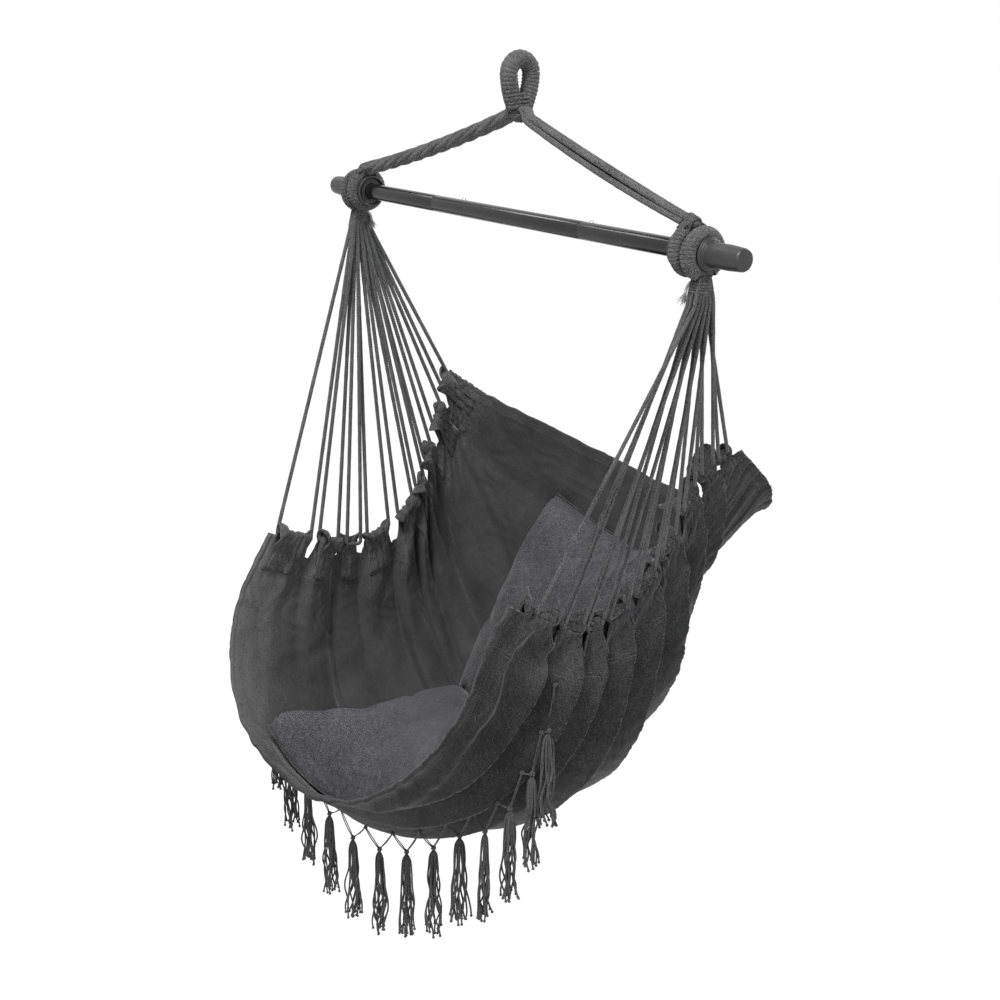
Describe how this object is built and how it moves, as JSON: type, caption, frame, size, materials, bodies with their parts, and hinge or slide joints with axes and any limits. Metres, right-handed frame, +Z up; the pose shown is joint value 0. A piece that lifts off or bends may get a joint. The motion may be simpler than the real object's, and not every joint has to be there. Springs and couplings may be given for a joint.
{
  "type": "hammock chair",
  "caption": "Hanging hammock chair: cotton sling with seat and back cushions, held by fanned cords and rope rings on a steel spreader bar under a rope loop, with a tassel fringe.",
  "frame": {"origin": "inside the hanging loop, where the top of its eye rests on a hook", "axes": "+Z up, +X along the spreader bar to the sitter's left, -Y the way the sitter faces"},
  "size_m": [0.9722, 0.6175, 1.3616],
  "materials": {
    "rope": "matte",
    "sling_cloth": "matte",
    "cushion_cloth": "matte",
    "black_steel": "gloss",
    "black_plastic": "satin",
    "spring_steel": "satin"
  },
  "bodies": {
    "hanging_loop": {"loop_core": "rope", "loop_serving": "rope"},
    "neck": {"neck_whipping": "rope"},
    "yoke": {"left_strand_cord_1": "rope", "left_strand_cord_2": "rope", "left_strand_cord_3": "rope", "left_strand_cord_4": "rope", "left_strand_cord_5": "rope", "right_strand_cord_1": "rope", "right_strand_cord_2": "rope", "right_strand_cord_3": "rope", "right_strand_cord_4": "rope", "right_strand_cord_5": "rope", "left_lashing": "rope", "right_lashing": "rope", "left_inner_ring": "rope", "right_inner_ring": "rope", "left_inner_serving": "rope", "right_inner_serving": "rope", "left_inner_collar": "black_plastic", "right_inner_collar": "black_plastic", "left_tube": "black_steel", "middle_tube": "black_steel", "right_tube": "black_steel"},
    "left_button": {"left_snap_button": "spring_steel"},
    "right_button": {"right_snap_button": "spring_steel"},
    "left_cap": {"left_end_cap": "black_plastic"},
    "right_cap": {"right_end_cap": "black_plastic"},
    "hammock": {"left_outer_ring": "rope", "right_outer_ring": "rope", "left_outer_serving": "rope", "right_outer_serving": "rope", "left_fan_cord_1": "rope", "left_fan_cord_2": "rope", "left_fan_cord_3": "rope", "left_fan_cord_4": "rope", "left_fan_cord_5": "rope", "left_fan_cord_6": "rope", "left_fan_cord_7": "rope", "left_fan_cord_8": "rope", "left_fan_cord_9": "rope", "right_fan_cord_1": "rope", "right_fan_cord_2": "rope", "right_fan_cord_3": "rope", "right_fan_cord_4": "rope", "right_fan_cord_5": "rope", "right_fan_cord_6": "rope", "right_fan_cord_7": "rope", "right_fan_cord_8": "rope", "right_fan_cord_9": "rope", "sling": "sling_cloth", "tassel_fringe": "rope"},
    "seat_pad": {"seat_cushion": "cushion_cloth"},
    "back_pad": {"back_cushion": "cushion_cloth"}
  },
  "joints": [
    {"name": "swing_fore_aft", "type": "hinge", "parent": "hanging_loop", "child": "neck", "pos_m": [0, 0, -0.059], "axis": [1, 0, 0], "range_deg": [-25, 25]},
    {"name": "swing_sideways", "type": "hinge", "parent": "neck", "child": "yoke", "pos_m": [0, 0, -0.059], "axis": [0, 1, 0], "range_deg": [-15, 15]},
    {"name": "sling_tilt", "type": "hinge", "parent": "yoke", "child": "hammock", "pos_m": [-0.028, 0, -0.209], "axis": [1, 0, 0], "range_deg": [-20, 20]},
    {"name": "left_button_press", "type": "slide", "parent": "yoke", "child": "left_button", "axis": [0, -0.5, -0.866], "range_m": [0, 0.004], "stiffness_N_per_m": 1500, "springref_m": -0.002},
    {"name": "right_button_press", "type": "slide", "parent": "yoke", "child": "right_button", "axis": [0, -0.5, -0.866], "range_m": [0, 0.004], "stiffness_N_per_m": 1500, "springref_m": -0.002},
    {"name": "left_cap_pull", "type": "slide", "parent": "yoke", "child": "left_cap", "axis": [-1, 0, 0], "range_m": [0, 0.06]},
    {"name": "right_cap_pull", "type": "slide", "parent": "yoke", "child": "right_cap", "axis": [1, 0, 0], "range_m": [0, 0.06]},
    {"name": "seat_cushion_lift", "type": "slide", "parent": "hammock", "child": "seat_pad", "axis": [0, -0.35, 0.9367], "range_m": [0, 0.2]},
    {"name": "back_cushion_lift", "type": "slide", "parent": "seat_pad", "child": "back_pad", "axis": [0, -0.2, 0.9798], "range_m": [0, 0.25]}
  ]
}
